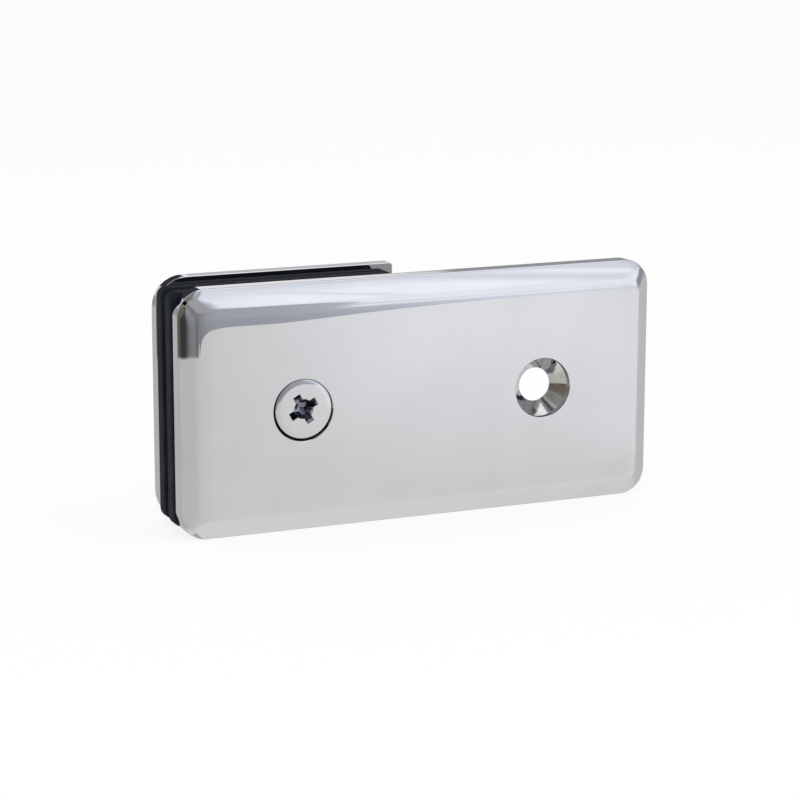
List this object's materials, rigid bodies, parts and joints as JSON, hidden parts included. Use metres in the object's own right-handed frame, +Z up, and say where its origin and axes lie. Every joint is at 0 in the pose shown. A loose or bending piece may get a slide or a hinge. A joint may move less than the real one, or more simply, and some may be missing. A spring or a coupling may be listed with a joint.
{
  "type": "glass clamp",
  "caption": "Bevelled clamp that grips a drilled sheet of glass behind one half between soft pads, drawn up by a countersunk screw, and is screwed to a wall or post by the other half.",
  "frame": {"origin": "centre of the front plate's rear face, which lies on the wall", "axes": "+X along the plate towards the wall half, +Y out of the front plate's rear face into the wall, +Z up the plate's height; the glass is held at -X and the face that shows looks along -Y"},
  "size_m": [0.1036, 0.0219, 0.0504],
  "materials": {
    "plate_chrome": "polished",
    "screw_chrome": "polished",
    "pad_rubber": "matt",
    "bush_plastic": "moulded"
  },
  "bodies": {
    "front": {"front_plate": "plate_chrome", "front_gasket": "pad_rubber"},
    "screw": {"clamp_screw": "screw_chrome"},
    "bush": {"glass_bush": "bush_plastic"},
    "back": {"back_plate": "plate_chrome", "back_gasket": "pad_rubber"}
  },
  "joints": [
    {"name": "back_slide", "type": "slide", "parent": "front", "child": "bush", "axis": [0, 1, 0], "range_m": [-0.0006, 0.008]},
    {"name": "screw_turn", "type": "hinge", "parent": "front", "child": "screw", "pos_m": [-0.02635, 0, 0], "axis": [0, -1, 0], "range_deg": [-216, 2880]},
    {"name": "back_swivel", "type": "hinge", "parent": "bush", "child": "back", "pos_m": [-0.02635, 0, 0], "axis": [0, 1, 0], "continuous": true}
  ],
  "couplings": [
    {"joint": "screw_turn", "follows": "back_slide", "rad_per_m": 6283.1}
  ]
}
